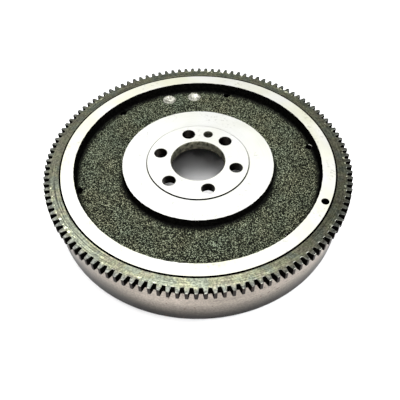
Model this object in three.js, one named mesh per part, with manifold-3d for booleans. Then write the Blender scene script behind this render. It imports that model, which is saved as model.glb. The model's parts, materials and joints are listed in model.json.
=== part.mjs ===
// A solid (single-mass) pot flywheel with a shrunk-on starter ring gear and three clutch-cover dowels.
// Millimetres, +Z up along the spin axis. The origin is the centre of the open pot's lower face, on which
// the flywheel lies with its crankshaft side up. +Y passes through the crankshaft dowel hole.
import * as THREE from "three";
import { mergeVertices } from "three/addons/utils/BufferGeometryUtils.js";
import Module from "manifold-3d";

const wasm = await Module();
wasm.setup();

// ---- Driving dimensions ----

// Starter ring gear: module 2.5, pressure angle 12 degrees.
const TEETH = 120;
const MODULE = 2.5;
const PRESSURE_ANGLE = THREE.MathUtils.degToRad(12);
const GEAR_WIDTH = 9.5;
const GEAR_BELOW_RIM = 0.4;
const BACKLASH = 0.1;
const FIRST_TOOTH_DEGREES = 0.2;

// Casting: heights above the lower face.
const HEIGHT = 56;
const HUB_BELOW_RIM = 1.7;
const BOSS_STEP = 0.8;
const RECESS_DEPTH = 12;
const FLANGE_THICKNESS = 10.2;
const POT_DEPTH = 24;

// Casting: radii.
const BORE_R = 26.75;
const BOSS_R = 50.7;
const HUB_R = 75.5;
const RIM_INNER_R = 123.4;
const REGISTER_R = 136;
const WALL_R = 147;
const POT_R = 133;
const HUB_RECESS_R = 57;
const FRICTION_INNER_R = 72;
const FRICTION_OUTER_R = 114;

// Casting: the groove and the relief beside the friction face.
const GROOVE_DEPTH = 1;
const GROOVE_WIDTH = 1.2;
const INNER_RELIEF = 1.5;

// Casting: fillets, chamfers, and how far the recess walls lean.
const HUB_RECESS_FILLET = 2.5;
const POT_FILLET = 2;
const POT_MOUTH_CHAMFER = 1;
const LOWER_EDGE_FILLET = 2.5;
const REGISTER_CHAMFER = 0.6;
const RIM_CORNER_FILLET = 3.5;
const HUB_CORNER_FILLET = 3;
const HUB_CHAMFER = 0.5;
const BORE_CHAMFER = 0.8;
const RIM_WALL_LEAN = 0.8;
const HUB_WALL_LEAN = 0.6;

// Holes.
const CRANK_BOLTS = 6;
const CRANK_BOLT_CIRCLE_R = 39.2;
const CRANK_BOLT_HOLE_R = 6.5;
const CRANK_DOWEL_HOLE_R = 4.75;
const COVER_BOLTS = 6;
const COVER_CIRCLE_R = 120;
const COVER_BOLT_HOLE_R = 3.4;
const COVER_DOWELS = 3;
const DOWEL_R = 4;
const DOWEL_LENGTH = 15;
const DOWEL_STANDS_OUT = 6.5;
const DOWEL_CHAMFER = 0.8;
const TIMING_HOLE = { r: 3.6, circleR: 131, degrees: -9.4, depth: 18 };
const BALANCE_HOLES = [
  { circleR: 113.5, degrees: 108 },
  { circleR: 113.5, degrees: 122.6 },
];
const BALANCE_HOLE_R = 7.2;
const BALANCE_HOLE_DEPTH = 1.2;

// A drill runs this far past the face that it comes out of.
const DRILL_PAST = 2;

// Neighbouring solids keep this gap where the real pieces touch.
const FIT_GAP = 0.3;

// How finely round shapes are cut.
const TURN_STEPS = 96;
const HOLE_STEPS = 20;
const FILLET_STEPS = 3;

// ---- Heights and radii that follow ----

const TIP_R = (MODULE * (TEETH + 2)) / 2;
const ROOT_R = (MODULE * (TEETH - 2.5)) / 2;
const PITCH_R = (MODULE * TEETH) / 2;
const GEAR_TOP_Z = HEIGHT - GEAR_BELOW_RIM;
const SHOULDER_Z = GEAR_TOP_Z - GEAR_WIDTH - FIT_GAP;
const HUB_Z = HEIGHT - HUB_BELOW_RIM;
const BOSS_Z = HUB_Z + BOSS_STEP;
const WEB_Z = HEIGHT - RECESS_DEPTH;
const FLANGE_UNDER_Z = BOSS_Z - FLANGE_THICKNESS;

// ---- Helpers ----

const onCircle = (radius, degrees) => {
  const angle = THREE.MathUtils.degToRad(degrees);
  return [radius * Math.cos(angle), radius * Math.sin(angle)];
};

// Turns corners [r, z, fillet radius] into a closed outline, each fillet an arc.
function filletedOutline(corners) {
  const outline = [];
  corners.forEach(([r, z, fillet = 0], i) => {
    const corner = new THREE.Vector2(r, z);
    if (!fillet) {
      outline.push(corner);
      return;
    }
    const [r0, z0] = corners.at(i - 1);
    const [r1, z1] = corners[(i + 1) % corners.length];
    const back = new THREE.Vector2(r0, z0).sub(corner).normalize();
    const ahead = new THREE.Vector2(r1, z1).sub(corner).normalize();
    const half = Math.acos(back.dot(ahead)) / 2;
    const bisector = back.clone().add(ahead).normalize();
    const centre = corner.clone().addScaledVector(bisector, fillet / Math.sin(half));
    const start = corner.clone().addScaledVector(back, fillet / Math.tan(half)).sub(centre);
    const turn = Math.sign(back.cross(ahead)) * (Math.PI - 2 * half);
    for (let step = 0; step <= FILLET_STEPS; step++) {
      const spoke = start.clone().rotateAround(new THREE.Vector2(), (-turn * step) / FILLET_STEPS);
      outline.push(spoke.add(centre));
    }
  });
  return outline;
}

// Revolves an outline of (radius, height) points about Z. A ring's outline runs anticlockwise.
function revolve(outline, steps) {
  return new THREE.LatheGeometry(outline, steps).rotateX(Math.PI / 2);
}

function toSolid(geometry) {
  const bare = geometry.clone().deleteAttribute("normal").deleteAttribute("uv");
  const merged = mergeVertices(bare, 1e-4);
  const triVerts = new Uint32Array(merged.index.array);
  const vertProperties = merged.attributes.position.array;
  return new wasm.Manifold(new wasm.Mesh({ numProp: 3, vertProperties, triVerts }));
}

function toGeometry(solid) {
  const mesh = solid.getMesh();
  return new THREE.BufferGeometry()
    .setAttribute("position", new THREE.BufferAttribute(mesh.vertProperties, 3))
    .setIndex(new THREE.BufferAttribute(mesh.triVerts, 1));
}

// A drill that cuts from zLow to zHigh at a place on a circle. A point of 118 degrees stands beyond
// zLow where pointDown is set, and beyond zHigh where pointUp is set.
function drill({ r, circleR, degrees, zLow, zHigh, pointDown = false, pointUp = false }) {
  const point = r / Math.tan(THREE.MathUtils.degToRad(59));
  const outline = [
    new THREE.Vector2(0, zLow - (pointDown ? point : 0)),
    new THREE.Vector2(r, zLow),
    new THREE.Vector2(r, zHigh),
    new THREE.Vector2(0, zHigh + (pointUp ? point : 0)),
  ];
  const [x, y] = onCircle(circleR, degrees);
  return toSolid(revolve(outline, HOLE_STEPS).translate(x, y, 0));
}

function namedMesh(name, geometry, colour, roughness, metalness) {
  const material = new THREE.MeshStandardMaterial({ color: colour, roughness, metalness });
  const mesh = new THREE.Mesh(geometry, material);
  mesh.name = name;
  return mesh;
}

// ---- Casting ----

// The turned section, from the bore's lower edge round the pot and back over the engine side.
function castingOutline() {
  return filletedOutline([
    [BORE_R, FLANGE_UNDER_Z],
    [HUB_RECESS_R, FLANGE_UNDER_Z, HUB_RECESS_FILLET],
    [HUB_RECESS_R, POT_DEPTH + INNER_RELIEF],
    [FRICTION_INNER_R, POT_DEPTH + INNER_RELIEF],
    [FRICTION_INNER_R, POT_DEPTH],
    [FRICTION_OUTER_R, POT_DEPTH],
    [FRICTION_OUTER_R, POT_DEPTH + GROOVE_DEPTH],
    [FRICTION_OUTER_R + GROOVE_WIDTH, POT_DEPTH + GROOVE_DEPTH],
    [FRICTION_OUTER_R + GROOVE_WIDTH, POT_DEPTH],
    [POT_R, POT_DEPTH, POT_FILLET],
    [POT_R, POT_MOUTH_CHAMFER],
    [POT_R + POT_MOUTH_CHAMFER, 0],
    [WALL_R, 0, LOWER_EDGE_FILLET],
    [WALL_R, SHOULDER_Z],
    [REGISTER_R, SHOULDER_Z],
    [REGISTER_R, HEIGHT - REGISTER_CHAMFER],
    [REGISTER_R - REGISTER_CHAMFER, HEIGHT],
    [RIM_INNER_R, HEIGHT],
    [RIM_INNER_R - RIM_WALL_LEAN, WEB_Z, RIM_CORNER_FILLET],
    [HUB_R + HUB_WALL_LEAN, WEB_Z, HUB_CORNER_FILLET],
    [HUB_R, HUB_Z - HUB_CHAMFER],
    [HUB_R - HUB_CHAMFER, HUB_Z],
    [BOSS_R, HUB_Z],
    [BOSS_R, BOSS_Z],
    [BORE_R + BORE_CHAMFER, BOSS_Z],
    [BORE_R, BOSS_Z - BORE_CHAMFER],
  ]);
}

// Bolts and a dowel hold the flange to the crankshaft.
function crankHoles() {
  const through = { zLow: FLANGE_UNDER_Z - DRILL_PAST, zHigh: BOSS_Z + DRILL_PAST };
  const holes = [];
  for (let i = 0; i < CRANK_BOLTS; i++) {
    const degrees = (360 / CRANK_BOLTS) * i;
    holes.push(drill({ r: CRANK_BOLT_HOLE_R, circleR: CRANK_BOLT_CIRCLE_R, degrees, ...through }));
  }
  holes.push(drill({ r: CRANK_DOWEL_HOLE_R, circleR: CRANK_BOLT_CIRCLE_R, degrees: 90, ...through }));
  return holes;
}

// Bolts and dowels hold the clutch cover. The bolt holes come out through the recess's corner fillet.
function coverHoles() {
  const circle = { circleR: COVER_CIRCLE_R, zLow: POT_DEPTH - DRILL_PAST };
  const boltTop = WEB_Z + RIM_CORNER_FILLET + DRILL_PAST;
  const seatTop = POT_DEPTH + DOWEL_LENGTH - DOWEL_STANDS_OUT + FIT_GAP;
  const holes = [];
  for (let i = 0; i < COVER_BOLTS; i++) {
    const degrees = (360 / COVER_BOLTS) * (i + 0.5);
    holes.push(drill({ ...circle, r: COVER_BOLT_HOLE_R, degrees, zHigh: boltTop }));
  }
  for (let i = 0; i < COVER_DOWELS; i++) {
    const degrees = (360 / COVER_DOWELS) * i;
    holes.push(drill({ ...circle, r: DOWEL_R + FIT_GAP, degrees, zHigh: seatTop, pointUp: true }));
  }
  return holes;
}

// The timing hole in the rim, and the shallow drillings in the web that balance the casting.
function blindHoles() {
  const timing = { ...TIMING_HOLE, zLow: HEIGHT - TIMING_HOLE.depth, zHigh: HEIGHT + DRILL_PAST };
  const balance = { r: BALANCE_HOLE_R, zLow: WEB_Z - BALANCE_HOLE_DEPTH, zHigh: WEB_Z + DRILL_PAST };
  const places = [timing, ...BALANCE_HOLES.map((place) => ({ ...balance, ...place }))];
  return places.map((place) => drill({ ...place, pointDown: true }));
}

function casting() {
  const outline = castingOutline();
  outline.push(outline[0].clone());
  let solid = toSolid(revolve(outline, TURN_STEPS));
  for (const hole of [...crankHoles(), ...coverHoles(), ...blindHoles()]) {
    solid = solid.subtract(hole);
  }
  return toGeometry(solid);
}

// ---- Starter ring gear ----

const involute = (angle) => Math.tan(angle) - angle;

// Half the angle that a tooth fills at a radius, from its involute flanks.
function toothHalfAngle(radius) {
  const baseR = PITCH_R * Math.cos(PRESSURE_ANGLE);
  const flankAngle = Math.acos(Math.min(1, baseR / radius));
  const thinning = BACKLASH / 2 / PITCH_R;
  return Math.PI / (2 * TEETH) - thinning + involute(PRESSURE_ANGLE) - involute(flankAngle);
}

function ringGear() {
  const flank = [ROOT_R, PITCH_R, TIP_R];
  const teeth = [];
  const bore = [];
  for (let tooth = 0; tooth < TEETH; tooth++) {
    const centre = FIRST_TOOTH_DEGREES + (360 / TEETH) * tooth;
    const halves = flank.map((r) => [r, THREE.MathUtils.radToDeg(toothHalfAngle(r))]);
    const rising = halves.map(([r, half]) => onCircle(r, centre - half));
    const falling = halves.map(([r, half]) => onCircle(r, centre + half)).reverse();
    teeth.push(...rising, ...falling);
    bore.push(onCircle(REGISTER_R + FIT_GAP, centre));
  }
  const gear = new THREE.Shape(teeth.map((place) => new THREE.Vector2(...place)));
  gear.holes.push(new THREE.Path(bore.map((place) => new THREE.Vector2(...place))));
  const body = new THREE.ExtrudeGeometry(gear, { depth: GEAR_WIDTH, bevelEnabled: false });
  return body.translate(0, 0, GEAR_TOP_Z - GEAR_WIDTH);
}

// ---- Clutch-cover dowels ----

function coverDowel(degrees) {
  const low = POT_DEPTH - DOWEL_STANDS_OUT;
  const high = low + DOWEL_LENGTH;
  const outline = [
    new THREE.Vector2(0, low),
    new THREE.Vector2(DOWEL_R - DOWEL_CHAMFER, low),
    new THREE.Vector2(DOWEL_R, low + DOWEL_CHAMFER),
    new THREE.Vector2(DOWEL_R, high - DOWEL_CHAMFER),
    new THREE.Vector2(DOWEL_R - DOWEL_CHAMFER, high),
    new THREE.Vector2(0, high),
  ];
  const [x, y] = onCircle(COVER_CIRCLE_R, degrees);
  return revolve(outline, HOLE_STEPS).translate(x, y, 0);
}

// ---- The assembly ----

const flywheel = new THREE.Group();
flywheel.add(namedMesh("flywheel_casting", casting(), 0x9a9b93, 0.45, 0.9));
flywheel.add(namedMesh("starter_ring_gear", ringGear(), 0x7d8474, 0.4, 1));
for (let i = 0; i < COVER_DOWELS; i++) {
  const dowel = coverDowel((360 / COVER_DOWELS) * i);
  flywheel.add(namedMesh(`clutch_cover_dowel_${i + 1}`, dowel, 0xb4b4b4, 0.25, 1));
}

export default flywheel;
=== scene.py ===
"""A pot-type clutch flywheel, lying crankshaft side up on a pale studio floor.

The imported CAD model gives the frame. This script builds finer meshes for its pieces, finishes them, and
adds the floor, the lights and the camera. Shapes are worked out in millimetres, and Blender's metres
come in only where a mesh, a light or the camera is made. Places round the axis are in degrees,
anticlockwise from +X.
"""

import json
import math

import bmesh
import bpy
import numpy as np
from mathutils import Matrix, Vector, noise


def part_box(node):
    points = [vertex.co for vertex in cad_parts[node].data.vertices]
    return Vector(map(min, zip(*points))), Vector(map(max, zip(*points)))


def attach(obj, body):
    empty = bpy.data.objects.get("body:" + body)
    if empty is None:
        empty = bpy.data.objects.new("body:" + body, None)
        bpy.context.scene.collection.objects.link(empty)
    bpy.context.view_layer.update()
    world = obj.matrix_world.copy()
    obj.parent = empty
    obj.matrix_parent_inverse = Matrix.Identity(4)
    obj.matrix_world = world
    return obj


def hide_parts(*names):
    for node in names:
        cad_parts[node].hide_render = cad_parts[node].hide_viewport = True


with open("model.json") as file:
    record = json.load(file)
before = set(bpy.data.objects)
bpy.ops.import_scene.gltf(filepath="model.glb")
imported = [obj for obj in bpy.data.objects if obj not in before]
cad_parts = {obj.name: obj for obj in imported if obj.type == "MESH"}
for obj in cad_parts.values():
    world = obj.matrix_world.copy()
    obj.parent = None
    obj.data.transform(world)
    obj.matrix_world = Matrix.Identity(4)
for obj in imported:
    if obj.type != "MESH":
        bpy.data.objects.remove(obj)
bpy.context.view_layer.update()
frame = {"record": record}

MM = 0.001


# ---- Sizes that the frame gives, in millimetres ----


def box_mm(node):
    low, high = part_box(node)
    return low / MM, high / MM


def opening_centre_mm(name):
    boxes = {o["name"]: o["box_m"] for o in frame["record"]["physics"]["openings"]}
    low, high = (Vector(corner) for corner in boxes[name])
    return (low + high) / 2 / MM


def mount_height_mm(name):
    heights = {m["name"]: m["pos_m"][2] for m in frame["record"]["mounts"]}
    return heights[name] / MM


_, casting_high = box_mm("flywheel_casting")
gear_low, gear_high = box_mm("starter_ring_gear")

# The finer teeth stay this far inside the CAD's box.
TIP_INSET = 0.005

HEIGHT = casting_high.z
WALL_R = casting_high.x
TIP_R = round(gear_high.x, 1) - TIP_INSET
GEAR_LOW_Z = gear_low.z
GEAR_TOP_Z = gear_high.z
BOSS_Z = mount_height_mm("crankshaft_face")
FRICTION_Z = mount_height_mm("friction_face")


# ---- Driving sizes of the finer meshes, in millimetres ----

BOSS_STEP = 0.8
RECESS_DEPTH = 12
FLANGE_THICKNESS = 10.2

BORE_R = 26.75
BOSS_R = 50.7
HUB_R = 75.5
RIM_INNER_R = 123.4
REGISTER_R = 136
POT_R = 133
HUB_RECESS_R = 57
FRICTION_INNER_R = 72
FRICTION_OUTER_R = 114

CRANK_BOLTS = 6
CRANK_BOLT_HOLE_R = 6.5
CRANK_DOWEL_HOLE_R = 4.75
COVER_BOLTS = 6
COVER_CIRCLE_R = 120
COVER_DOWELS = 3
THREAD_MINOR_R = 3.4
THREAD_MAJOR_R = 3.95
THREAD_PITCH = 1.25
TIMING_HOLE = {"r": 3.6, "circle_r": 131, "degrees": -9.4, "depth": 18}
BALANCE_HOLE_PLACES = [(113.5, 108), (113.5, 122.6)]  # circle's radius, degrees
BALANCE_HOLE_R = 7.2
BALANCE_HOLE_DEPTH = 1.2

TEETH = 120
MODULE = 2.5
PRESSURE_ANGLE = math.radians(12)
BACKLASH = 0.1
FIRST_TOOTH_DEGREES = 0.2

HUB_Z = BOSS_Z - BOSS_STEP
WEB_Z = HEIGHT - RECESS_DEPTH
FLANGE_UNDER_Z = BOSS_Z - FLANGE_THICKNESS
SHOULDER_GAP = 0.1
SHOULDER_Z = GEAR_LOW_Z - SHOULDER_GAP
PITCH_R = MODULE * TEETH / 2
ROOT_R = MODULE * (TEETH - 2.5) / 2

# The ring gear's bore has a wide lead-in chamfer, which leaves a dirty groove beside the rim. Another
# groove stands round the boss's foot: its floor is painted near-black as shade, and its clean side
# slopes up to the hub.
RING_LEAD_IN = 1.6
RIM_EDGE_CHAMFER = 0.2
BOSS_GROOVE_WIDTH = 1.4
BOSS_GROOVE_FLOOR = 0.6
BOSS_GROOVE_DEPTH = 0.8

# The ring gear's face has its lathe streaks painted stronger on one side of the axis, partly a painted
# sheen, and is painted lighter on another side as a painted highlight.
STREAK_SHEEN_SIDE = (-0.62, -0.78, 0)
PAINTED_LIGHT_SIDE = (0.52, -0.85, 0)

WALL_ROUNDING = 2.5
SHOULDER_CHAMFER = 0.3
BORE_TOP_CHAMFER = 0.8
DRILL_POINT_DEGREES = 118

TURN_STEPS = 480
CAST_GRID = 1.1

# How close a face's centre has to lie to a surface to count as part of it, and the height below which
# a face inside the rim belongs to the clutch side.
TOUCH = 0.1
CLUTCH_SIDE_Z = WEB_Z - 3


# ---- Shapes ----


def on_circle(radius, degrees):
    angle = math.radians(degrees)
    return radius * math.cos(angle), radius * math.sin(angle)


def eased_outline(corners):
    """Closes corners (r, z, size, steps) into an outline. A corner with a size is cut back by it: one
    step makes a chamfer and more make an arc of that radius. A point stands a short way before and after
    each arc, which keeps the flat faces beside it flat."""
    guard = 0.25
    outline = []
    for i, (r, z, size, steps) in enumerate(corners):
        corner = Vector((r, z))
        if not size:
            outline.append(corner)
            continue
        before = Vector(corners[i - 1][:2])
        after = Vector(corners[(i + 1) % len(corners)][:2])
        back = (before - corner).normalized()
        ahead = (after - corner).normalized()
        half = back.angle(ahead) / 2
        if steps == 1:
            outline += [corner + back * size, corner + ahead * size]
            continue
        reach = size / math.tan(half)
        centre = corner + (back + ahead).normalized() * size / math.sin(half)
        spoke = corner + back * reach - centre
        turn = math.copysign(math.pi - 2 * half, back.x * ahead.y - back.y * ahead.x)
        outline.append(corner + back * (reach + guard))
        for step in range(steps + 1):
            outline.append(centre + Matrix.Rotation(-turn * step / steps, 2) @ spoke)
        outline.append(corner + ahead * (reach + guard))
    return outline


def split_long_spans(outline, wanted, longest):
    """Adds points to the outline's spans whose middle is wanted, so that none there is longer."""
    fine = []
    for here, there in zip(outline, outline[1:] + outline[:1]):
        pieces = 1
        if wanted(*((here + there) / 2)):
            pieces = math.ceil((there - here).length / longest)
        fine += [here.lerp(there, i / pieces) for i in range(pieces)]
    return fine


def mesh_object(name, points_mm, faces):
    """A mesh with its faces pointing out, from points in millimetres."""
    mesh = bpy.data.meshes.new(name)
    mesh.from_pydata((np.asarray(points_mm, float) * MM).tolist(), [], faces)
    solid = bmesh.new()
    solid.from_mesh(mesh)
    bmesh.ops.recalc_face_normals(solid, faces=solid.faces)
    solid.to_mesh(mesh)
    solid.free()
    made = bpy.data.objects.new(name, mesh)
    bpy.context.scene.collection.objects.link(made)
    return made


def band_faces(rows, columns, close_rows, first=0):
    """The quads of a grid of points whose columns close on themselves."""
    faces = []
    for row in range(rows if close_rows else rows - 1):
        here, there = row * columns, (row + 1) % rows * columns
        for column in range(columns):
            ahead = (column + 1) % columns
            quad = (here + column, here + ahead, there + ahead, there + column)
            faces.append(tuple(first + corner for corner in quad))
    return faces


def revolved(outline, steps, centre=(0, 0), first=0):
    """Points and faces of a turned shape. An outline with its ends on the axis makes a plug, closed
    there by a fan, and any other closes on itself as a ring."""
    on_axis = 1e-6
    plug = outline[0][0] < on_axis
    rings = outline[1:-1] if plug else outline
    angles = np.arange(steps) * 2 * math.pi / steps
    points = [
        (centre[0] + r * math.cos(a), centre[1] + r * math.sin(a), z)
        for r, z in rings
        for a in angles
    ]
    faces = band_faces(len(rings), steps, not plug, first)
    if plug:
        low, high = first + len(points), first + len(points) + 1
        points += [(*centre, outline[0][1]), (*centre, outline[-1][1])]
        last = first + (len(rings) - 1) * steps
        for i in range(steps):
            ahead = (i + 1) % steps
            faces.append((low, first + ahead, first + i))
            faces.append((high, last + i, last + ahead))
    return points, faces


def face_centres_and_slopes(piece):
    """Each face's centre in millimetres, and how far its normal points up, from -1 to 1."""
    centres = np.empty(len(piece.data.polygons) * 3)
    normals = np.empty(len(piece.data.polygons) * 3)
    piece.data.polygons.foreach_get("center", centres)
    piece.data.polygons.foreach_get("normal", normals)
    return centres.reshape(-1, 3) / MM, normals.reshape(-1, 3)[:, 2]


def smooth_with_sharp_edges(piece, degrees=30):
    """Smooths curved faces. Level faces stay flat, so that slivers beside a cut can't tilt them."""
    level = 0.99999
    piece.data.shade_smooth()
    piece.data.set_sharp_from_angle(angle=math.radians(degrees))
    _, slopes = face_centres_and_slopes(piece)
    piece.data.polygons.foreach_set("use_smooth", np.abs(slopes) < level)


# ---- Casting ----


def is_cast_skin(r, z):
    """True where the casting keeps its rough skin: the recess round the hub, and on the clutch side the
    relief inside the friction ring."""
    near, far = 0.5, 1
    in_recess = HUB_R - near < r < RIM_INNER_R + near and z > WEB_Z - far
    in_relief = HUB_RECESS_R - far < r < FRICTION_INNER_R and FRICTION_Z - far < z < CLUTCH_SIDE_Z
    return in_recess or in_relief


def casting_outline():
    """The casting's half section, from the bore's lower edge round the pocket, the wall and the top."""
    groove_depth = 1
    groove_width = 1.2
    relief = 1.5
    corners = [
        (BORE_R, FLANGE_UNDER_Z, 0.6, 1),
        (HUB_RECESS_R, FLANGE_UNDER_Z, 2.5, 6),
        (HUB_RECESS_R, FRICTION_Z + relief, 1.2, 4),
        (FRICTION_INNER_R, FRICTION_Z + relief, 0.6, 4),
        (FRICTION_INNER_R, FRICTION_Z, 0.4, 1),
        (FRICTION_OUTER_R, FRICTION_Z, 0.3, 1),
        (FRICTION_OUTER_R, FRICTION_Z + groove_depth, 0, 0),
        (FRICTION_OUTER_R + groove_width, FRICTION_Z + groove_depth, 0, 0),
        (FRICTION_OUTER_R + groove_width, FRICTION_Z, 0.2, 1),
        (POT_R, FRICTION_Z, 2, 6),
        (POT_R, 0, 1, 1),
        (WALL_R, 0, WALL_ROUNDING, 7),
        (WALL_R, SHOULDER_Z, SHOULDER_CHAMFER, 1),
        (REGISTER_R, SHOULDER_Z, 0, 0),
        (REGISTER_R, HEIGHT, RIM_EDGE_CHAMFER, 1),
        (RIM_INNER_R, HEIGHT, 0, 0),
        (RIM_INNER_R - 0.8, WEB_Z, 3.5, 8),
        (HUB_R + 0.6, WEB_Z, 3, 8),
        (HUB_R, HUB_Z, 0, 0),
        (BOSS_R + BOSS_GROOVE_WIDTH, HUB_Z, 0, 0),
        (BOSS_R + BOSS_GROOVE_FLOOR, HUB_Z - BOSS_GROOVE_DEPTH, 0, 0),
        (BOSS_R, HUB_Z - BOSS_GROOVE_DEPTH, 0, 0),
        (BOSS_R, BOSS_Z, 0, 0),
        (BORE_R, BOSS_Z, BORE_TOP_CHAMFER, 1),
    ]
    return split_long_spans(eased_outline(corners), is_cast_skin, CAST_GRID)


def roughen_cast_skin(piece):
    """Moves the cast skin's points along their normals by a sandy grain and broad unevenness. It fades
    out beside the friction face. At the upper edges of the hub and the rim it moves points only sideways,
    and further, which makes those edges ragged and leaves the machined faces flat."""
    fade = 1.5
    edge_strength = 1.6
    hair = 0.01
    grain_size, grain_height = 2.6, 0.2
    swell_size, swell_height = 22, 0.18
    coordinates = np.empty(len(piece.data.vertices) * 3)
    normals = np.empty(len(piece.data.vertices) * 3)
    piece.data.vertices.foreach_get("co", coordinates)
    piece.data.vertices.foreach_get("normal", normals)
    coordinates, normals = coordinates.reshape(-1, 3), normals.reshape(-1, 3)
    for i, point in enumerate(coordinates / MM):
        r, z = math.hypot(point[0], point[1]), point[2]
        if not is_cast_skin(r, z):
            continue
        away = normals[i]
        strength = min(1, abs(r - FRICTION_INNER_R) / fade)
        if z > HUB_Z - hair:
            away = np.array([point[0], point[1], 0]) / r
            strength = edge_strength
        grain = noise.noise(point / grain_size) * grain_height
        swell = noise.noise(point / swell_size) * swell_height
        coordinates[i] += away * (grain + swell) * strength * MM
    piece.data.vertices.foreach_set("co", coordinates.ravel())


def drill_outline(r, low, high, low_point=0.0, high_point=0.0, chamfers=()):
    """A drill's outline from low to high. Its points stand beyond the ends where asked, and each chamfer
    (z, size, side) opens the hole at z, above it for side 1 and below it for side -1."""
    beyond = 1.0
    point = r / math.tan(math.radians(DRILL_POINT_DEGREES / 2))
    outline = [(0, low - low_point * point), (r, low)]
    for z, size, side in sorted(chamfers):
        reach = r + size + beyond
        if side < 0:
            outline[1:] = [(reach, low), (reach, z - beyond), (r, z + size)]
        else:
            outline += [(r, z - size), (reach, z + beyond), (reach, high)]
    if not any(side > 0 for _, _, side in chamfers):
        outline.append((r, high))
    return outline + [(0, high + high_point * point)]


def threaded_outline(low, high, lip_z):
    """A threaded hole's outline, its thread drawn as rings, with a worn lip where it comes out."""
    lip = 0.3
    unthreaded = 1
    lip_top, shoulder = 0.2, 0.6
    outline = [(0, low), (THREAD_MAJOR_R, low)]
    turns = math.floor((lip_z - unthreaded - low) / THREAD_PITCH)
    for turn in range(turns):
        z = low + turn * THREAD_PITCH
        for share, r in ((0.1, THREAD_MAJOR_R), (0.45, THREAD_MINOR_R), (0.65, THREAD_MINOR_R)):
            outline.append((r, z + share * THREAD_PITCH))
    outline += [(THREAD_MINOR_R, lip_z - lip), (THREAD_MINOR_R + lip, lip_z + lip_top)]
    return outline + [(THREAD_MINOR_R + lip, lip_z + shoulder), (THREAD_MINOR_R, high), (0, high)]


def casting_holes():
    """Each hole of the casting: its place, its drill's outline, and its finishes. A finish covers the
    hole's own faces, none of them level, within a reach of its axis and between two heights."""
    past = 2
    mouth_depth, lip_depth, lip_reach = 6, 0.3, 0.5
    flange_under_chamfer, flange_top_chamfer, timing_chamfer = 0.4, 0.3, 0.25
    dowel_clearance, dowel_end_room = 0.02, 0.5
    above_friction = FRICTION_Z + 1
    holes = []

    def add(x, y, outline, *finishes, steps=48):
        holes.append({"at": (x, y), "outline": outline, "finishes": finishes, "steps": steps})

    flange_chamfers = ((FLANGE_UNDER_Z, flange_under_chamfer, -1), (BOSS_Z, flange_top_chamfer, 1))
    chamfer_reach = flange_under_chamfer + TOUCH
    low, high = FLANGE_UNDER_Z - past, BOSS_Z + past
    for i in range(CRANK_BOLTS):
        x, y, _ = opening_centre_mm(f"crank_bolt_hole_{i + 1}")
        outline = drill_outline(CRANK_BOLT_HOLE_R, low, high, chamfers=flange_chamfers)
        add(x, y, outline, ("drilled_iron", CRANK_BOLT_HOLE_R + chamfer_reach, low, high))
    x, y, _ = opening_centre_mm("crank_dowel_hole")
    outline = drill_outline(CRANK_DOWEL_HOLE_R, low, high, chamfers=flange_chamfers)
    add(x, y, outline, ("bored_iron", CRANK_DOWEL_HOLE_R + chamfer_reach, low, high))
    for i in range(COVER_BOLTS):
        x, y = on_circle(COVER_CIRCLE_R, 360 / COVER_BOLTS * (i + 0.5))
        outline = threaded_outline(FRICTION_Z - past, WEB_Z + 3 * past, WEB_Z)
        thread = ("drilled_iron", THREAD_MAJOR_R + TOUCH, 0, WEB_Z)
        mouth = ("grime_and_painted_shade", THREAD_MAJOR_R + TOUCH, WEB_Z - mouth_depth, HEIGHT)
        lip = ("worn_lip", THREAD_MINOR_R + lip_reach, WEB_Z - lip_depth, WEB_Z + lip_depth)
        add(x, y, outline, thread, mouth, lip)
    for i in range(COVER_DOWELS):
        low, high = box_mm(f"clutch_cover_dowel_{i + 1}")
        centre, r = (low + high) / 2, (high.x - low.x) / 2 + dowel_clearance
        outline = drill_outline(r, FRICTION_Z - past, high.z + dowel_end_room, high_point=1)
        add(centre.x, centre.y, outline, ("drilled_iron", r + TOUCH, 0, CLUTCH_SIDE_Z))
    timing_r = TIMING_HOLE["r"]
    outline = drill_outline(
        timing_r,
        HEIGHT - TIMING_HOLE["depth"],
        HEIGHT + past,
        low_point=1,
        chamfers=((HEIGHT, timing_chamfer, 1),),
    )
    place = on_circle(TIMING_HOLE["circle_r"], TIMING_HOLE["degrees"])
    add(*place, outline, ("drilled_iron", timing_r + timing_chamfer + TOUCH, above_friction, HEIGHT))
    for place in BALANCE_HOLE_PLACES:
        outline = drill_outline(BALANCE_HOLE_R, WEB_Z - BALANCE_HOLE_DEPTH, WEB_Z + past, low_point=1)
        finish = ("fresh_drilled_iron", BALANCE_HOLE_R + TOUCH, above_friction, HEIGHT)
        add(*on_circle(*place), outline, finish, steps=64)
    return holes


def cut_holes(piece, holes):
    """Cuts all the holes at once. No two drills share a place, because coincident ones leave a skin."""
    points, faces = [], []
    for hole in holes:
        more_points, more_faces = revolved(hole["outline"], hole["steps"], hole["at"], len(points))
        points += more_points
        faces += more_faces
    drills = mesh_object("drills", points, faces)
    cut = piece.modifiers.new("holes", "BOOLEAN")
    cut.operation = "DIFFERENCE"
    cut.solver = "MANIFOLD"
    cut.object = drills
    view_graph = bpy.context.evaluated_depsgraph_get()
    mesh = bpy.data.meshes.new_from_object(piece.evaluated_get(view_graph))
    piece.modifiers.clear()
    piece.data = mesh
    mesh.name = piece.name
    mesh.materials.clear()
    bpy.data.objects.remove(drills)


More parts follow.
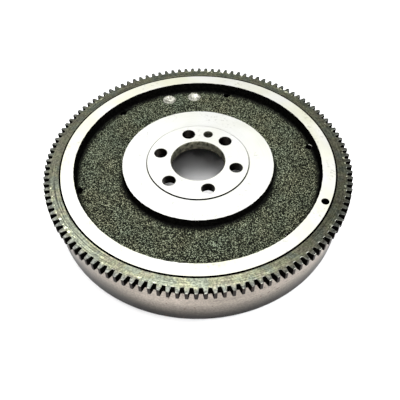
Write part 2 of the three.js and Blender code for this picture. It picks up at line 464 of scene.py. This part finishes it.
def turned_finish(r, z, slope):
    """The finish of the turned casting at a radius and height, holes aside. The slope is 1 for a face
    that looks straight up, 0 for an upright one and -1 for one that looks straight down."""
    steep, level, facing_down = 0.6, 0.95, -0.5
    fillet_foot, joint_reach, hair = 1.2, 0.5, 0.05
    if is_cast_skin(r, z):
        # Painted shade: the recess's steep sides take a nearly black finish.
        at_wall = z > WEB_Z + fillet_foot and slope < steep
        return "cast_wall_painted_shade" if at_wall else "cast_skin"
    at_boss_foot = BOSS_R - TOUCH < r < BOSS_R + BOSS_GROOVE_FLOOR
    in_boss_groove = at_boss_foot and HUB_Z - 1 < z < BOSS_Z - hair
    at_ring_joint = r > REGISTER_R - joint_reach and slope < level and z > SHOULDER_Z - SHOULDER_CHAMFER
    # Painted shade on the boss groove's floor; dirt in the ring gear's joint.
    if in_boss_groove or at_ring_joint:
        return "grime_and_painted_shade"
    if r > WALL_R - WALL_ROUNDING - TOUCH and z < SHOULDER_Z - hair:
        return "turned_wall"
    if slope < facing_down and r < HUB_RECESS_R:
        return "drilled_iron"
    if slope < facing_down and r < POT_R + TOUCH:
        return "friction_iron"
    if r < BORE_R + BORE_TOP_CHAMFER - TOUCH and slope < level:
        return "bored_iron"
    if abs(r - POT_R) < TOUCH or abs(r - HUB_RECESS_R) < TOUCH:
        return "drilled_iron"
    return "machined_iron"


def finish_casting(piece, holes, finishes):
    """Gives each face its finish. Where a hole's finishes overlap, the last one counts."""
    level = 0.999
    names = ["machined_iron", "friction_iron", "turned_wall", "cast_skin", "cast_wall_painted_shade", "drilled_iron"]
    names += ["fresh_drilled_iron", "worn_lip", "bored_iron", "grime_and_painted_shade"]
    for name in names:
        piece.data.materials.append(finishes[name])
    chosen = []
    for (x, y, z), slope in zip(*face_centres_and_slopes(piece)):
        finish = turned_finish(math.hypot(x, y), z, slope)
        for hole in holes:
            off_axis = math.hypot(x - hole["at"][0], y - hole["at"][1])
            for hole_finish, reach, low, high in hole["finishes"]:
                if off_axis < reach and low <= z <= high and abs(slope) < level:
                    finish = hole_finish
        chosen.append(names.index(finish))
    piece.data.polygons.foreach_set("material_index", chosen)


def make_casting(finishes):
    points, faces = revolved(casting_outline(), TURN_STEPS)
    casting = mesh_object("turned_casting", points, faces)
    roughen_cast_skin(casting)
    holes = casting_holes()
    cut_holes(casting, holes)
    finish_casting(casting, holes, finishes)
    smooth_with_sharp_edges(casting)
    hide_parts("flywheel_casting")
    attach(casting, "root")


# ---- Starter ring gear ----


def involute(angle):
    return math.tan(angle) - angle


def tooth_half_angle(radius):
    base_r = PITCH_R * math.cos(PRESSURE_ANGLE)
    flank_angle = math.acos(min(1, base_r / radius))
    thinning = BACKLASH / 2 / PITCH_R
    return math.pi / (2 * TEETH) - thinning + involute(PRESSURE_ANGLE) - involute(flank_angle)


def tooth_profile():
    """One tooth's outline and the root beside it, as (radius, angle from the tooth's middle)."""
    flank_steps = 5
    tip_round, root_round = 0.3, 0.7
    round_steps = 3
    start, end = ROOT_R + root_round, TIP_R - tip_round
    flank = [start + (end - start) * i / flank_steps for i in range(flank_steps + 1)]
    side = [(r, tooth_half_angle(r)) for r in flank]
    for i in range(1, round_steps + 1):
        sweep = math.pi / 2 * i / round_steps
        r = end + tip_round * math.sin(sweep)
        inward = tip_round * (1 - math.cos(sweep)) / TIP_R
        side.append((r, tooth_half_angle(end) - inward))
    root = []
    for i in range(round_steps, 0, -1):
        sweep = math.pi / 2 * i / round_steps
        r = start - root_round * math.sin(sweep)
        outward = root_round * (1 - math.cos(sweep)) / ROOT_R
        root.append((r, tooth_half_angle(start) + outward))
    side = root + side
    return [(r, -half) for r, half in side] + [(TIP_R, 0)] + [(r, half) for r, half in side[::-1]]


def gear_outline():
    """The whole toothed outline as an array of points, anticlockwise."""
    points = []
    for tooth in range(TEETH):
        middle = math.radians(FIRST_TOOTH_DEGREES + 360 / TEETH * tooth)
        for r, angle in tooth_profile():
            points.append((r * math.cos(middle + angle), r * math.sin(middle + angle)))
        gap = middle + math.pi / TEETH
        points.append((ROOT_R * math.cos(gap), ROOT_R * math.sin(gap)))
    return np.array(points)


def inset(outline, distance):
    """The outline moved inwards by a distance, along the mean normal of the spans at each point."""
    ahead = np.roll(outline, -1, axis=0) - outline
    ahead /= np.linalg.norm(ahead, axis=1, keepdims=True)
    normals = np.column_stack([-ahead[:, 1], ahead[:, 0]])
    mean = normals + np.roll(normals, 1, axis=0)
    mean /= np.linalg.norm(mean, axis=1, keepdims=True)
    return outline + mean * distance


def make_ring_gear(finishes):
    edge, bore_gap = 0.35, 0.03
    face_rings, beside_root = 8, 1.2
    flank_shares = (0.35, 0.65)
    outline = gear_outline()
    angles = np.arctan2(outline[:, 1], outline[:, 0])

    def level(xy, z):
        return np.column_stack([xy, np.full(len(xy), z)])

    def circle(radius, z):
        return level(np.column_stack([np.cos(angles), np.sin(angles)]) * radius, z)

    bore_r = REGISTER_R + bore_gap
    face_rs = np.linspace(bore_r + RING_LEAD_IN, ROOT_R - beside_root, face_rings)
    low, high = GEAR_LOW_Z, GEAR_TOP_Z
    rows = [circle(bore_r, low + RING_LEAD_IN)]
    rows += [circle(r, low) for r in face_rs]
    rows += [level(inset(outline, edge), low), level(outline, low + edge)]
    rows += [level(outline, low + (high - low) * share) for share in flank_shares]
    rows += [level(outline, high - edge), level(inset(outline, edge), high)]
    rows += [circle(r, high) for r in face_rs[::-1]]
    rows += [circle(bore_r, high - RING_LEAD_IN)]
    gear = mesh_object("toothed_ring", np.concatenate(rows), band_faces(len(rows), len(outline), True))

    finish_ring_gear(gear, bore_r + RING_LEAD_IN, finishes)
    smooth_with_sharp_edges(gear, 25)
    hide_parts("starter_ring_gear")
    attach(gear, "root")


def finish_ring_gear(gear, face_inner_r, finishes):
    """Gives each face its finish. The teeth's upper edges look like the face beside them, except at the
    roots and tips, where the starter pinion has worn them."""
    level, leaning, upright = 0.9, 0.2, 0.2
    below_root, above_root = 1, 0.3
    tip_edge, tip_land = 0.7, 0.15
    names = ["ring_gear_face", "tooth_flank_painted_shade", "tooth_tip", "tooth_edge", "grime_and_painted_shade"]
    for name in names:
        gear.data.materials.append(finishes[name])
    centres, slopes = face_centres_and_slopes(gear)
    radii = np.hypot(centres[:, 0], centres[:, 1])
    toothed = radii > ROOT_R - below_root
    chosen = np.zeros(len(radii), int)
    # Painted shade: the teeth's flanks and roots take a near-black finish.
    chosen[toothed & (np.abs(slopes) < level)] = names.index("tooth_flank_painted_shade")
    upper_edge = toothed & (slopes > leaning) & (slopes < level)
    chosen[upper_edge] = names.index("ring_gear_face")
    worn = (radii < ROOT_R + above_root) | (radii > TIP_R - tip_edge)
    chosen[upper_edge & worn] = names.index("tooth_edge")
    chosen[(radii > TIP_R - tip_land) & (np.abs(slopes) < upright)] = names.index("tooth_tip")
    chosen[radii < face_inner_r] = names.index("grime_and_painted_shade")
    gear.data.polygons.foreach_set("material_index", chosen)


# ---- Clutch-cover dowels ----


def make_cover_dowel(number, finishes):
    low, high = box_mm(f"clutch_cover_dowel_{number}")
    centre, r = (low + high) / 2, (high.x - low.x) / 2
    nose, tail, steps = 1.2, 0.6, 64
    half = [
        (0, low.z, 0, 0),
        (r, low.z, nose, 5),
        (r, high.z, tail, 1),
        (0, high.z, 0, 0),
    ]
    outline = [tuple(point) for point in eased_outline(half)]
    points, faces = revolved(outline, steps, (centre.x, centre.y))
    dowel = mesh_object(f"ground_dowel_{number}", points, faces)
    dowel.data.materials.append(finishes["ground_steel"])
    smooth_with_sharp_edges(dowel)
    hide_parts(f"clutch_cover_dowel_{number}")
    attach(dowel, "root")


# ---- Finishes ----


class Finish:
    """A Principled material whose nodes are added by short calls. Noise scales are per metre."""

    def __init__(self, name, metallic, roughness, anisotropic=0.0, specular=0.5):
        self.material = bpy.data.materials.new(name)
        self.material.use_nodes = True
        self.tree = self.material.node_tree
        self.shader = self.tree.nodes["Principled BSDF"]
        self.shader.inputs["Metallic"].default_value = metallic
        self.shader.inputs["Roughness"].default_value = roughness
        self.shader.inputs["Anisotropic"].default_value = anisotropic
        self.shader.inputs["Specular IOR Level"].default_value = specular
        self.place = self.add("ShaderNodeTexCoord").outputs["Object"]

    def add(self, kind, inputs=(), **settings):
        made = self.tree.nodes.new(kind)
        for key, value in settings.items():
            setattr(made, key, value)
        for key, value in dict(inputs).items():
            self.put(value, made.inputs[key])
        return made

    def put(self, value, socket):
        if isinstance(value, bpy.types.NodeSocket):
            self.tree.links.new(value, socket)
        else:
            socket.default_value = value

    def math(self, operation, a, b=0.0, c=0.0):
        return self.add("ShaderNodeMath", {0: a, 1: b, 2: c}, operation=operation).outputs[0]

    def noise(self, scale, detail=3.0, roughness=0.5):
        inputs = {"Vector": self.place, "Scale": scale, "Detail": detail, "Roughness": roughness}
        return self.add("ShaderNodeTexNoise", inputs).outputs["Fac"]

    def radius_mm(self):
        parts = self.add("ShaderNodeSeparateXYZ", {0: self.place})
        square = self.math("MULTIPLY", parts.outputs[0], parts.outputs[0])
        square = self.math("ADD", square, self.math("MULTIPLY", parts.outputs[1], parts.outputs[1]))
        return self.math("DIVIDE", self.math("SQRT", square), MM)

    def height_mm(self):
        return self.math("DIVIDE", self.add("ShaderNodeSeparateXYZ", {0: self.place}).outputs[2], MM)

    def towards(self, side):
        """How far a place lies from the axis towards a side, 1 at the ring gear's tips."""
        along = self.add("ShaderNodeVectorMath", {0: self.place, 1: side}, operation="DOT_PRODUCT")
        return self.math("DIVIDE", along.outputs["Value"], TIP_R * MM)

    def ring_noise(self, width_mm, turn, along="radius"):
        """Noise in rings about the axis, with no seam: width_mm wide in radius or height, and changing
        about turn times round the circle."""
        flat = self.add("ShaderNodeVectorMath", {0: self.place, 1: (1, 1, 0)}, operation="MULTIPLY")
        around = self.add("ShaderNodeVectorMath", {0: flat.outputs[0]}, operation="NORMALIZE").outputs[0]
        across = self.radius_mm() if along == "radius" else self.height_mm()
        inputs = {
            "Vector": around,
            "W": self.math("DIVIDE", across, width_mm * turn),
            "Scale": float(turn),
            "Detail": 4.0,
            "Roughness": 0.6,
        }
        return self.add("ShaderNodeTexNoise", inputs, noise_dimensions="4D").outputs["Fac"]

    def ramp(self, value, *stops):
        """Colours or levels by value: stops are (position, colour or grey level)."""
        made = self.add("ShaderNodeValToRGB", {0: value})
        elements = made.color_ramp.elements
        while len(elements) < len(stops):
            elements.new(0.5)
        for element, (position, colour) in zip(elements, stops):
            element.position = position
            element.color = (*colour, 1) if isinstance(colour, tuple) else (colour, colour, colour, 1)
        return made.outputs["Color"]

    def mix(self, share, a, b, blend="MIX"):
        made = self.add("ShaderNodeMix", data_type="RGBA", blend_type=blend)
        self.put(share, made.inputs["Factor"])
        self.put(a if not isinstance(a, tuple) else (*a, 1), made.inputs["A"])
        self.put(b if not isinstance(b, tuple) else (*b, 1), made.inputs["B"])
        return made.outputs["Result"]

    def bump(self, height, distance_mm, strength=1.0):
        inputs = {"Height": height, "Distance": distance_mm * MM, "Strength": strength}
        return self.add("ShaderNodeBump", inputs).outputs["Normal"]

    def use(self, **sockets):
        """Plugs values into the shader's sockets, such as base_color for Base Color."""
        for socket, value in sockets.items():
            self.put(value, self.shader.inputs[socket.replace("_", " ").title()])
        return self.material


def turned_tangent(finish):
    """Lays the finish's anisotropic highlight along lathe marks round the axis."""
    tangent = finish.add("ShaderNodeTangent", direction_type="RADIAL", axis="Z")
    finish.put(tangent.outputs[0], finish.shader.inputs["Tangent"])


def machined_iron():
    """The bright turned faces of hub and rim: less tinted on the hub, smudged in patches."""
    finish = Finish("machined_iron", 0.4, 0.5, anisotropic=0.3)
    turned_tangent(finish)
    rings = finish.ring_noise(0.5, 3)
    broad = finish.noise(28.0, 4)
    radius = finish.radius_mm()
    colour = finish.ramp(broad, (0.35, (0.53, 0.53, 0.42)), (0.62, (0.56, 0.56, 0.53)))
    on_hub = finish.math("LESS_THAN", radius, HUB_R + 2)
    colour = finish.mix(finish.math("MULTIPLY", on_hub, 0.65), colour, (0.56, 0.565, 0.545))
    colour = finish.mix(0.4, colour, finish.ramp(rings, (0.35, 0.82), (0.65, 1.0)), "MULTIPLY")
    smudges = finish.ramp(finish.noise(330.0, 3), (0.56, 1.0), (0.66, 0.72))
    where = finish.ramp(finish.noise(34.0, 2), (0.5, 0.0), (0.6, 1.0))
    colour = finish.mix(where, colour, finish.mix(1.0, colour, smudges, "MULTIPLY"))
    roughness = finish.ramp(finish.noise(70.0, 5), (0.3, 0.46), (0.7, 0.58))
    return finish.use(base_color=colour, roughness=roughness, normal=finish.bump(rings, 0.03))


def friction_iron():
    """The ground face that the clutch disc rubs on, with its marks round the axis and bluish patches."""
    finish = Finish("friction_iron", 0.9, 0.36, anisotropic=0.5)
    turned_tangent(finish)
    rings = finish.ring_noise(0.7, 5)
    heat = finish.noise(18.0, 3)
    colour = finish.ramp(
        heat,
        (0.35, (0.3, 0.285, 0.265)),
        (0.55, (0.34, 0.33, 0.32)),
        (0.7, (0.25, 0.26, 0.29)),
    )
    colour = finish.mix(0.7, colour, finish.ramp(rings, (0.35, 0.6), (0.65, 1.15)), "MULTIPLY")
    return finish.use(base_color=colour, normal=finish.bump(rings, 0.04))


def turned_wall():
    """The warm brown-grey outer wall, darkened towards its foot by painted shade for the floor's contact
    shadow that it mirrors, with a few rust spots.
    """
    drift_mm, shadow_fade_height_mm = 14.0, 60.0
    finish = Finish("turned_wall", 1.0, 0.42, anisotropic=0.3)
    turned_tangent(finish)
    rings = finish.ring_noise(1.1, 4, along="height")
    patches = finish.noise(22.0, 5)
    colour = finish.ramp(patches, (0.3, (0.235, 0.205, 0.17)), (0.7, (0.335, 0.295, 0.255)))
    colour = finish.mix(0.6, colour, finish.ramp(rings, (0.3, 0.6), (0.7, 1.15)), "MULTIPLY")
    speckle = finish.ramp(finish.noise(560.0, 2, 0.6), (0.36, 0.8), (0.64, 1.18))
    colour = finish.mix(1.0, colour, speckle, "MULTIPLY")
    # Painted shade: the colour darkens towards the wall's foot, where the wall mirrors the floor's
    # contact shadow.
    drift = finish.math("MULTIPLY", finish.noise(9.0, 2), drift_mm)
    height = finish.math("DIVIDE", finish.math("ADD", finish.height_mm(), drift), shadow_fade_height_mm)
    painted_reflected_shadow = finish.ramp(height, (0.13, 0.02), (0.23, 0.07), (0.37, 0.37), (0.6, 1.0))
    colour = finish.mix(1.0, colour, painted_reflected_shadow, "MULTIPLY")
    spots = finish.ramp(finish.noise(230.0, 2), (0.66, 0.0), (0.72, 1.0))
    where = finish.ramp(finish.noise(14.0, 2), (0.46, 0.0), (0.58, 1.0))
    rust = finish.math("MULTIPLY", spots, where)
    colour = finish.mix(rust, colour, (0.09, 0.055, 0.04))
    roughness = finish.ramp(patches, (0.3, 0.36), (0.7, 0.5))
    return finish.use(base_color=colour, roughness=roughness, normal=finish.bump(rings, 0.03))


def cast_skin():
    """The sandy green-grey skin, with painted shade beside the hub and the rim. The grain's scale keeps
    the web's height away from a whole number of noise cells, where the noise would lose contrast in
    patches."""
    unevenness_mm, shade_width_mm = 4.0, 12.0
    finish = Finish("cast_skin", 0.0, 0.55, specular=0.04)
    grain = finish.noise(1150.0, 1, 0.5)
    broad = finish.noise(35.0, 4)
    colour = finish.ramp(
        grain,
        (0.44, (0.0006, 0.0006, 0.0005)),
        (0.52, (0.013, 0.014, 0.009)),
        (0.59, (0.083, 0.088, 0.06)),
        (0.67, (0.31, 0.32, 0.25)),
    )
    tint = finish.ramp(broad, (0.3, (0.85, 0.97, 0.9)), (0.7, (1.0, 0.98, 0.82)))
    colour = finish.mix(1.0, colour, tint, "MULTIPLY")
    radius = finish.radius_mm()
    # Painted shade: the colour darkens within a few millimetres of the hub's and the rim's walls.
    from_hub = finish.math("SUBTRACT", radius, HUB_R)
    from_rim = finish.math("SUBTRACT", RIM_INNER_R, radius)
    from_wall = finish.math("MINIMUM", from_hub, from_rim)
    uneven = finish.math("MULTIPLY_ADD", finish.noise(60.0, 2), unevenness_mm, from_wall)
    nearness = finish.math("DIVIDE", uneven, shade_width_mm)
    shade = finish.ramp(nearness, (0.3, 0.02), (0.45, 0.32), (0.66, 1.0))
    colour = finish.mix(1.0, colour, shade, "MULTIPLY")
    return finish.use(base_color=colour, normal=finish.bump(grain, 0.5))


def cast_wall_painted_shade():
    """The skin's steep sides, painted nearly black as shade."""
    finish = Finish("cast_wall_painted_shade", 0.0, 0.7, specular=0.0)
    grain = finish.noise(560.0, 1, 0.5)
    colour = finish.ramp(grain, (0.4, (0.0005, 0.0005, 0.0005)), (0.7, (0.003, 0.003, 0.0025)))
    return finish.use(base_color=colour, normal=finish.bump(grain, 0.4, 0.8))


def drilled_iron():
    """Drilled and bored surfaces that get little light, painted dark as shade."""
    finish = Finish("drilled_iron", 1.0, 0.4)
    rings = finish.ring_noise(0.8, 3, along="height")
    patches = finish.noise(120.0, 4)
    colour = finish.ramp(patches, (0.3, (0.007, 0.006, 0.005)), (0.7, (0.04, 0.034, 0.027)))
    return finish.use(base_color=colour, normal=finish.bump(rings, 0.05))


def fresh_drilled_iron():
    """The balance holes, drilled through the skin into bright metal."""
    finish = Finish("fresh_drilled_iron", 0.5, 0.42)
    patches = finish.noise(420.0, 3)
    colour = finish.ramp(patches, (0.38, (0.15, 0.146, 0.122)), (0.6, (0.52, 0.52, 0.45)))
    return finish.use(base_color=colour, normal=finish.bump(patches, 0.2))


def worn_lip():
    """The edge of a threaded hole, mostly dirty and worn bright in places."""
    finish = Finish("worn_lip", 0.0, 0.6, specular=0.05)
    chips = finish.noise(170.0, 3)
    colour = finish.ramp(chips, (0.52, (0.002, 0.002, 0.0015)), (0.59, (0.45, 0.45, 0.4)))
    return finish.use(base_color=colour, normal=finish.bump(chips, 0.2))


def bored_iron():
    """The spigot bore and the crankshaft dowel hole, patchy and dull."""
    finish = Finish("bored_iron", 0.7, 0.5, specular=0.2)
    rings = finish.ring_noise(0.9, 6, along="height")
    patches = finish.noise(260.0, 4)
    colour = finish.ramp(patches, (0.35, (0.02, 0.02, 0.013)), (0.65, (0.16, 0.155, 0.11)))
    colour = finish.mix(0.6, colour, finish.ramp(rings, (0.35, 0.4), (0.65, 1.3)), "MULTIPLY")
    return finish.use(base_color=colour, normal=finish.bump(rings, 0.08))


def grime_and_painted_shade():
    """Near-black dirt in the ring gear's joint and the hole mouths, and painted shade on the floor of the
    groove round the boss's foot.
    """
    finish = Finish("grime_and_painted_shade", 0.0, 0.75, specular=0.0)
    lumps = finish.noise(500.0, 3)
    colour = finish.ramp(lumps, (0.4, (0.0005, 0.0005, 0.0004)), (0.7, (0.003, 0.0027, 0.0023)))
    return finish.use(base_color=colour, normal=finish.bump(lumps, 0.1))


def ring_gear_face():
    """Turned steel with heat stains, soiled towards its teeth, with bright flecks beside the gaps, lathe
    streaks painted stronger on one side as a partly painted sheen, and a painted highlight on another
    side."""
    finish = Finish("ring_gear_face", 0.75, 0.3, anisotropic=0.7)
    turned_tangent(finish)
    finish.shader.inputs["Anisotropic Rotation"].default_value = 0.25
    rings = finish.ring_noise(0.8, 4)
    stains = finish.noise(58.0, 3)
    colour = finish.ramp(
        stains,
        (0.3, (0.084, 0.09, 0.064)),
        (0.42, (0.08, 0.089, 0.068)),
        (0.5, (0.103, 0.107, 0.068)),
        (0.58, (0.098, 0.094, 0.066)),
        (0.7, (0.081, 0.09, 0.068)),
    )
    mottle = finish.ramp(finish.noise(620.0, 2, 0.6), (0.38, 0.5), (0.62, 1.5))
    colour = finish.mix(0.9, colour, mottle, "MULTIPLY")
    # Painted highlight: one side of the face is painted up to 1.7 times lighter.
    painted_light = finish.ramp(finish.towards(PAINTED_LIGHT_SIDE), (0.72, 1.0), (0.93, 1.7))
    colour = finish.mix(1.0, colour, painted_light, "MULTIPLY")
    # Lathe streaks, made stronger and brighter on one side as a painted sheen.
    streak_sheen = finish.ramp(finish.towards(STREAK_SHEEN_SIDE), (0.72, 0.5), (0.9, 1.0))
    colour = finish.mix(streak_sheen, colour, finish.ramp(rings, (0.38, 0.3), (0.62, 1.9)), "MULTIPLY")
    radius = finish.radius_mm()
    span = {"From Min": ROOT_R - 1, "From Max": TIP_R - 2, "To Min": 0.0, "To Max": 0.8}
    towards_tips = finish.add("ShaderNodeMapRange", {"Value": radius, **span}).outputs[0]
    soiled = finish.noise(620.0, 2)
    tops = finish.ramp(soiled, (0.38, (0.045, 0.047, 0.042)), (0.64, (0.15, 0.155, 0.145)))
    colour = finish.mix(towards_tips, colour, tops)
    fleck_reach = 1.3
    beside_roots = finish.math("COMPARE", radius, ROOT_R - fleck_reach, fleck_reach)
    flecks = finish.ramp(finish.noise(330.0, 1), (0.6, 0.0), (0.66, 1.0))
    where = finish.ramp(finish.noise(26.0, 2), (0.48, 0.0), (0.54, 1.0))
    flecks = finish.math("MULTIPLY", flecks, finish.math("MULTIPLY", beside_roots, where))
    colour = finish.mix(flecks, colour, (0.7, 0.72, 0.52))
    return finish.use(base_color=colour, normal=finish.bump(rings, 0.06))


def tooth_flank_painted_shade():
    """The gaps between the teeth, painted near-black as shade."""
    finish = Finish("tooth_flank_painted_shade", 0.0, 0.6, specular=0.0)
    patches = finish.noise(160.0, 4)
    colour = finish.ramp(patches, (0.3, (0.0003, 0.0003, 0.0003)), (0.75, (0.002, 0.0018, 0.0015)))
    return finish.use(base_color=colour, normal=finish.bump(patches, 0.06))


def tooth_tip():
    """The teeth's outer lands, brown-black."""
    finish = Finish("tooth_tip", 0.4, 0.5, specular=0.05)
    patches = finish.noise(160.0, 4)
    colour = finish.ramp(patches, (0.3, (0.003, 0.002, 0.0016)), (0.75, (0.015, 0.01, 0.0075)))
    return finish.use(base_color=colour, normal=finish.bump(patches, 0.06))


def tooth_edge():
    """The teeth's upper edges where they are worn, dark with bright spots."""
    finish = Finish("tooth_edge", 1.0, 0.45)
    patches = finish.noise(240.0, 3)
    colour = finish.ramp(patches, (0.42, (0.05, 0.05, 0.043)), (0.6, (0.36, 0.36, 0.31)))
    return finish.use(base_color=colour, normal=finish.bump(patches, 0.08))


def ground_steel():
    """The clutch-cover dowels."""
    finish = Finish("ground_steel", 1.0, 0.2)
    scratches = finish.noise(900.0, 2)
    colour = finish.ramp(scratches, (0.3, (0.5, 0.5, 0.49)), (0.7, (0.64, 0.64, 0.62)))
    return finish.use(base_color=colour, normal=finish.bump(scratches, 0.01))


# ---- Studio, in metres ----

CAMERA_TURN_DEGREES = 16.4


def turned(x, y, z):
    """A place given as seen from the camera's side, x to the right and y away, in the CAD's frame."""
    return Matrix.Rotation(math.radians(CAMERA_TURN_DEGREES), 3, "Z") @ Vector((x, y, z))


def aim(thing, place, target):
    thing.location = place
    thing.rotation_euler = (Vector(target) - Vector(place)).to_track_quat("-Z", "Y").to_euler()


def make_floor():
    """A pale floor, a hair below the flywheel, so that no two faces coincide."""
    half = 3.0
    below = -0.0004
    pale = (0.94, 0.94, 0.94, 1)
    mesh = bpy.data.meshes.new("floor")
    corners = [(-half, -half, below), (half, -half, below), (half, half, below), (-half, half, below)]
    mesh.from_pydata(corners, [], [(0, 1, 2, 3)])
    floor = bpy.data.objects.new("floor", mesh)
    bpy.context.scene.collection.objects.link(floor)
    paint = bpy.data.materials.new("floor_paint")
    paint.use_nodes = True
    shader = paint.node_tree.nodes["Principled BSDF"]
    shader.inputs["Base Color"].default_value = pale
    shader.inputs["Roughness"].default_value = 0.7
    mesh.materials.append(paint)


def softbox(name, place, target, width, height, radiance, colour=(1, 1, 1)):
    """A rectangular lamp. Its power grows with its size, so radiance says how bright its face looks."""
    lamp = bpy.data.lights.new(name, "AREA")
    lamp.shape = "RECTANGLE"
    lamp.size, lamp.size_y = width, height
    lamp.energy = radiance * math.pi * width * height
    lamp.color = colour
    made = bpy.data.objects.new(name, lamp)
    bpy.context.scene.collection.objects.link(made)
    aim(made, turned(*place), turned(*target))


def make_lights():
    """A large lamp overhead, lower ones in front and at the right, and a dim world."""
    top = (0, 0, HEIGHT * MM)
    softbox("overhead", (-0.2, 0.2, 1.45), top, width=1.2, height=1.86, radiance=5.9)
    softbox("front_fill", (0.0, -1.3, 0.4), top, width=2.8, height=0.6, radiance=7.5)
    cool = (0.94, 0.97, 1.0)
    softbox("right_fill", (1.3, -0.2, 0.6), top, width=1.4, height=0.8, radiance=4.6, colour=cool)
    world = bpy.data.worlds.new("studio")
    world.use_nodes = True
    background = world.node_tree.nodes["Background"]
    background.inputs["Color"].default_value = (0.98, 0.98, 1.0, 1)
    background.inputs["Strength"].default_value = 0.17
    bpy.context.scene.world = world


def make_camera():
    """The photo's camera, as fitted. It looks down at 49.9 degrees, at a point on the rim's plane on
    the near side of the axis, and leans a little."""
    rim = HEIGHT * MM
    place = turned(0, -0.3697, rim + 0.3757)
    target = turned(0.00134, -0.05285, rim)
    roll = math.radians(-0.713)
    sensor_mm, focal_length_mm = 36, 47.3
    lens = bpy.data.cameras.new("camera")
    lens.sensor_width = sensor_mm
    lens.lens = focal_length_mm
    lens.clip_start = 0.01
    camera = bpy.data.objects.new("camera", lens)
    bpy.context.scene.collection.objects.link(camera)
    look = (target - place).to_track_quat("-Z", "Y").to_matrix() @ Matrix.Rotation(roll, 3, "Z")
    camera.matrix_world = Matrix.Translation(place) @ look.to_4x4()
    bpy.context.scene.camera = camera


def set_view():
    """Leaves colours as they are lit, without a film curve."""
    bpy.context.scene.view_settings.view_transform = "Standard"


# ---- The scene ----

finishes = {
    make.__name__: make()
    for make in (
        machined_iron,
        friction_iron,
        turned_wall,
        cast_skin,
        cast_wall_painted_shade,
        drilled_iron,
        fresh_drilled_iron,
        worn_lip,
        bored_iron,
        grime_and_painted_shade,
        ring_gear_face,
        tooth_flank_painted_shade,
        tooth_tip,
        tooth_edge,
        ground_steel,
    )
}
make_casting(finishes)
make_ring_gear(finishes)
for number in range(1, COVER_DOWELS + 1):
    make_cover_dowel(number, finishes)
make_floor()
make_lights()
make_camera()
set_view()
